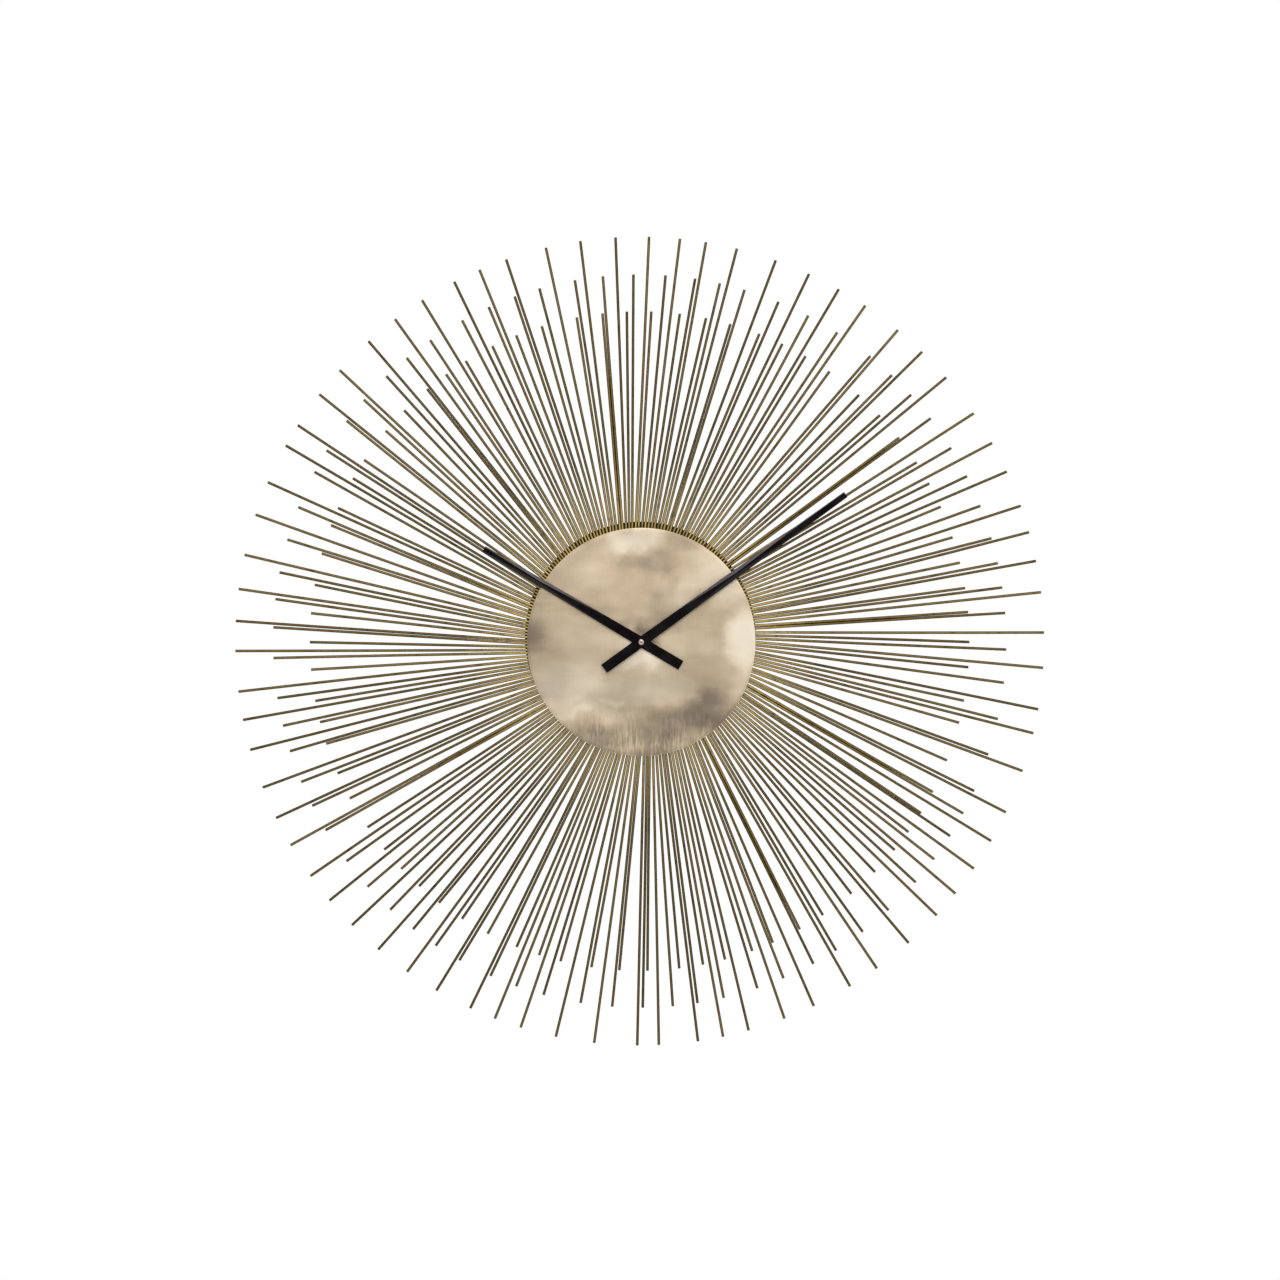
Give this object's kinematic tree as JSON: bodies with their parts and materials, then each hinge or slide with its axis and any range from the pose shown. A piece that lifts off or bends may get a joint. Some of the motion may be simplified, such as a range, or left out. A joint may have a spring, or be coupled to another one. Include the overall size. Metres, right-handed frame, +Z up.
{
  "type": "sunburst wall clock",
  "caption": "Round wall clock: a satin brass disc on a burst of thin welded brass rods, with tapered black bar hands and a battery quartz movement behind it.",
  "frame": {"origin": "the seat of the keyhole hanger: centre of the slot's round top end, in the plane of the wall", "axes": "+Z up; +Y into the wall, so the dial faces -Y; +X to the right as seen from the front. The hands' axis is parallel to Y, 90 mm below the origin"},
  "size_m": [0.8998, 0.035, 0.8999],
  "materials": {
    "rod_brass": "aged satin brass rod with darkened sides",
    "disc_brass": "champagne brass with a cloudy patina and fine vertical brushing",
    "plate_paint": "satin black powder coat",
    "zinc_steel": "bright zinc plate",
    "black_rubber": "matte moulded rubber",
    "case_plastic": "moulded black plastic, fine spark texture",
    "train_resin": "natural acetal resin",
    "plate_resin": "grey engineering resin",
    "magnet": "dark plastic-bonded magnet",
    "turned_brass": "bright turned brass",
    "stator_steel": "stamped electrical steel",
    "coil_copper": "enamelled copper wire",
    "board_green": "green solder mask",
    "contact_metal": "nickel plated spring steel",
    "battery_sleeve": "plain dark shrink sleeve with bright end caps",
    "hand_lacquer": "gloss black lacquer",
    "nut_nickel": "polished nickel"
  },
  "bodies": {
    "clock_frame": {"ray_bundle_01": "rod_brass", "ray_bundle_02": "rod_brass", "ray_bundle_03": "rod_brass", "ray_bundle_04": "rod_brass", "ray_bundle_05": "rod_brass", "ray_bundle_06": "rod_brass", "ray_bundle_07": "rod_brass", "ray_bundle_08": "rod_brass", "ray_bundle_09": "rod_brass", "ray_bundle_10": "rod_brass", "ray_bundle_11": "rod_brass", "ray_bundle_12": "rod_brass", "ray_bundle_13": "rod_brass", "ray_bundle_14": "rod_brass", "ray_bundle_15": "rod_brass", "ray_bundle_16": "rod_brass", "ray_bundle_17": "rod_brass", "ray_bundle_18": "rod_brass", "ray_bundle_19": "rod_brass", "dial_disc": "disc_brass", "back_plate": "plate_paint", "hanger_bracket": "zinc_steel", "hanger_rivet_left": "zinc_steel", "hanger_rivet_right": "zinc_steel", "dial_stud_1": "zinc_steel", "dial_stud_2": "zinc_steel", "dial_stud_3": "zinc_steel", "dial_nut_1": "zinc_steel", "dial_nut_2": "zinc_steel", "dial_nut_3": "zinc_steel", "wall_bumper_left": "black_rubber", "wall_bumper_right": "black_rubber", "rubber_washer": "black_rubber", "movement_front_case": "case_plastic", "movement_rear_cover": "case_plastic", "coil_bobbin": "train_resin", "train_plate": "plate_resin", "threaded_bush": "turned_brass", "clamp_washer": "turned_brass", "clamp_nut": "turned_brass", "stator": "stator_steel", "coil_winding": "coil_copper", "circuit_board": "board_green", "contact_positive": "contact_metal", "contact_negative": "contact_metal", "quartz_crystal": "contact_metal"},
    "minute_hand": {"minute_arbor": "turned_brass", "minute_hand": "hand_lacquer", "hand_nut": "nut_nickel"},
    "hour_hand": {"hour_wheel": "train_resin", "hour_hand_collet": "turned_brass", "hour_hand": "hand_lacquer"},
    "motion_wheel": {"motion_wheel": "train_resin"},
    "setting_knob": {"setting_knob": "case_plastic"},
    "seconds_wheel": {"seconds_wheel": "train_resin"},
    "intermediate_wheel": {"intermediate_wheel": "train_resin"},
    "rotor": {"rotor": "magnet"},
    "third_wheel": {"third_wheel": "train_resin"},
    "centre_wheel": {"centre_wheel": "train_resin"},
    "battery": {"battery": "battery_sleeve"}
  },
  "joints": [
    {"name": "minute_hand_turn", "type": "hinge", "parent": "clock_frame", "child": "minute_hand", "pos_m": [0, 0, -0.09], "axis": [0, 1, 0], "continuous": true},
    {"name": "hour_hand_turn", "type": "hinge", "parent": "clock_frame", "child": "hour_hand", "pos_m": [0, 0, -0.09], "axis": [0, 1, 0], "continuous": true},
    {"name": "motion_wheel_turn", "type": "hinge", "parent": "clock_frame", "child": "motion_wheel", "pos_m": [0.00985, 0, -0.08826], "axis": [0, 1, 0], "continuous": true},
    {"name": "setting_knob_turn", "type": "hinge", "parent": "clock_frame", "child": "setting_knob", "pos_m": [0.02042, 0, -0.09211], "axis": [0, 1, 0], "continuous": true},
    {"name": "seconds_wheel_turn", "type": "hinge", "parent": "clock_frame", "child": "seconds_wheel", "pos_m": [0, 0, -0.09], "axis": [0, 1, 0], "continuous": true},
    {"name": "intermediate_wheel_turn", "type": "hinge", "parent": "clock_frame", "child": "intermediate_wheel", "pos_m": [0.00651, 0, -0.08349], "axis": [0, 1, 0], "continuous": true},
    {"name": "rotor_turn", "type": "hinge", "parent": "clock_frame", "child": "rotor", "pos_m": [0.00938, 0, -0.0756], "axis": [0, 1, 0], "continuous": true},
    {"name": "third_wheel_turn", "type": "hinge", "parent": "clock_frame", "child": "third_wheel", "pos_m": [-0.00779, 0, -0.0855], "axis": [0, 1, 0], "continuous": true},
    {"name": "centre_wheel_turn", "type": "hinge", "parent": "clock_frame", "child": "centre_wheel", "pos_m": [0, 0, -0.09], "axis": [0, 1, 0], "continuous": true},
    {"name": "battery_lift", "type": "slide", "parent": "clock_frame", "child": "battery", "axis": [0, 1, 0], "range_m": [0, 0.02]}
  ],
  "couplings": [
    {"joint": "hour_hand_turn", "follows": "minute_hand_turn", "ratio": 0.083333},
    {"joint": "motion_wheel_turn", "follows": "minute_hand_turn", "ratio": -0.33333},
    {"joint": "setting_knob_turn", "follows": "minute_hand_turn", "ratio": 0.66667},
    {"joint": "intermediate_wheel_turn", "follows": "seconds_wheel_turn", "ratio": -6},
    {"joint": "rotor_turn", "follows": "seconds_wheel_turn", "ratio": 30},
    {"joint": "third_wheel_turn", "follows": "seconds_wheel_turn", "ratio": -0.13333},
    {"joint": "centre_wheel_turn", "follows": "seconds_wheel_turn", "ratio": 0.016667}
  ]
}
